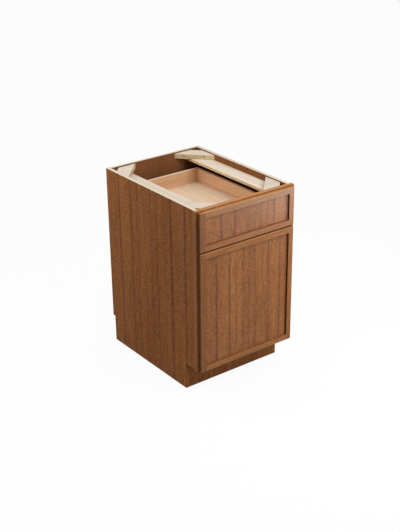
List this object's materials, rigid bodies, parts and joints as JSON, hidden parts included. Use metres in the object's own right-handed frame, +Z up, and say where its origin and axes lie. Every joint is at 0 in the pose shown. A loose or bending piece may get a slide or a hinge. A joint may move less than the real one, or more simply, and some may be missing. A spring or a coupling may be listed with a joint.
{
  "type": "tilt out vegetable bin cabinet",
  "caption": "Open-topped kitchen base cabinet with a face frame, a drawer, and below it a bottom-hinged door that tilts out with a slatted, divided vegetable bin.",
  "frame": {"origin": "on the floor, midway across the width and midway between the drawer front's face and the wall", "axes": "+X to the right seen from the front, +Y to the wall behind, +Z up"},
  "size_m": [0.5334, 0.7032, 0.8763],
  "materials": {
    "stained_wood": "medium brown stain, satin lacquer",
    "raw_plywood": "bare sanded plywood",
    "drawer_wood": "clear satin lacquer",
    "bin_wood": "clear satin lacquer",
    "slide_steel": "zinc plated",
    "hinge_bronze": "dark bronze",
    "screw_steel": "zinc plated",
    "bumper_clear": "clear polyurethane",
    "catch_plastic": "brown moulded plastic"
  },
  "bodies": {
    "cabinet": {"back_panel": "stained_wood", "bottom_deck": "stained_wood", "toe_kick_board": "stained_wood", "frame_top_rail": "stained_wood", "frame_mid_rail": "stained_wood", "frame_bottom_rail": "stained_wood", "corner_block_screws": "screw_steel", "hinge_frame_leaf": "hinge_bronze", "hinge_pin": "hinge_bronze", "hinge_frame_screws": "screw_steel", "magnetic_catches": "catch_plastic", "slide_cabinet_screws": "screw_steel", "side_panel_left": "stained_wood", "side_panel_right": "stained_wood", "frame_stile_left": "stained_wood", "frame_stile_right": "stained_wood", "top_stretcher_left": "raw_plywood", "top_stretcher_right": "raw_plywood", "corner_block_front_left": "raw_plywood", "corner_block_front_right": "raw_plywood", "corner_block_back_left": "raw_plywood", "corner_block_back_right": "raw_plywood", "slide_cabinet_member_left": "slide_steel", "slide_cabinet_member_right": "slide_steel", "slide_rear_bracket_left": "slide_steel", "slide_rear_bracket_right": "slide_steel"},
    "slide_middle_left": {"slide_middle_member_left": "slide_steel"},
    "slide_middle_right": {"slide_middle_member_right": "slide_steel"},
    "drawer": {"drawer_box_front": "drawer_wood", "drawer_box_back": "drawer_wood", "drawer_floor": "drawer_wood", "drawer_front_panel": "stained_wood", "drawer_front_screws": "screw_steel", "drawer_bumpers": "bumper_clear", "drawer_front_rail_top": "stained_wood", "drawer_front_rail_bottom": "stained_wood", "slide_drawer_screws": "screw_steel", "drawer_front_stile_left": "stained_wood", "drawer_front_stile_right": "stained_wood", "drawer_side_left": "drawer_wood", "drawer_side_right": "drawer_wood", "slide_drawer_member_left": "slide_steel", "slide_drawer_member_right": "slide_steel"},
    "tilt_bin": {"hinge_door_leaf": "hinge_bronze", "hinge_door_screws": "screw_steel", "door_panel": "stained_wood", "door_bumpers": "bumper_clear", "door_rail_top": "stained_wood", "door_rail_bottom": "stained_wood", "bin_front_board": "bin_wood", "bin_front_screws": "screw_steel", "bin_bottom_slats": "bin_wood", "bin_back_slats": "bin_wood", "bin_divider": "bin_wood", "bin_stops": "slide_steel", "strike_plates": "slide_steel", "door_stile_left": "stained_wood", "door_stile_right": "stained_wood", "bin_side_left": "bin_wood", "bin_side_right": "bin_wood"}
  },
  "joints": [
    {"name": "drawer_slide", "type": "slide", "parent": "cabinet", "child": "drawer", "axis": [0, -1, 0], "range_m": [0, 0.56]},
    {"name": "slide_middle_left_slide", "type": "slide", "parent": "cabinet", "child": "slide_middle_left", "axis": [0, -1, 0], "range_m": [0, 0.28]},
    {"name": "slide_middle_right_slide", "type": "slide", "parent": "cabinet", "child": "slide_middle_right", "axis": [0, -1, 0], "range_m": [0, 0.28]},
    {"name": "bin_tilt", "type": "hinge", "parent": "cabinet", "child": "tilt_bin", "pos_m": [0, -0.33495, 0.1245], "axis": [1, 0, 0], "range_deg": [0, 30]}
  ],
  "couplings": [
    {"joint": "slide_middle_left_slide", "follows": "drawer_slide", "ratio": 0.5},
    {"joint": "slide_middle_right_slide", "follows": "drawer_slide", "ratio": 0.5}
  ]
}
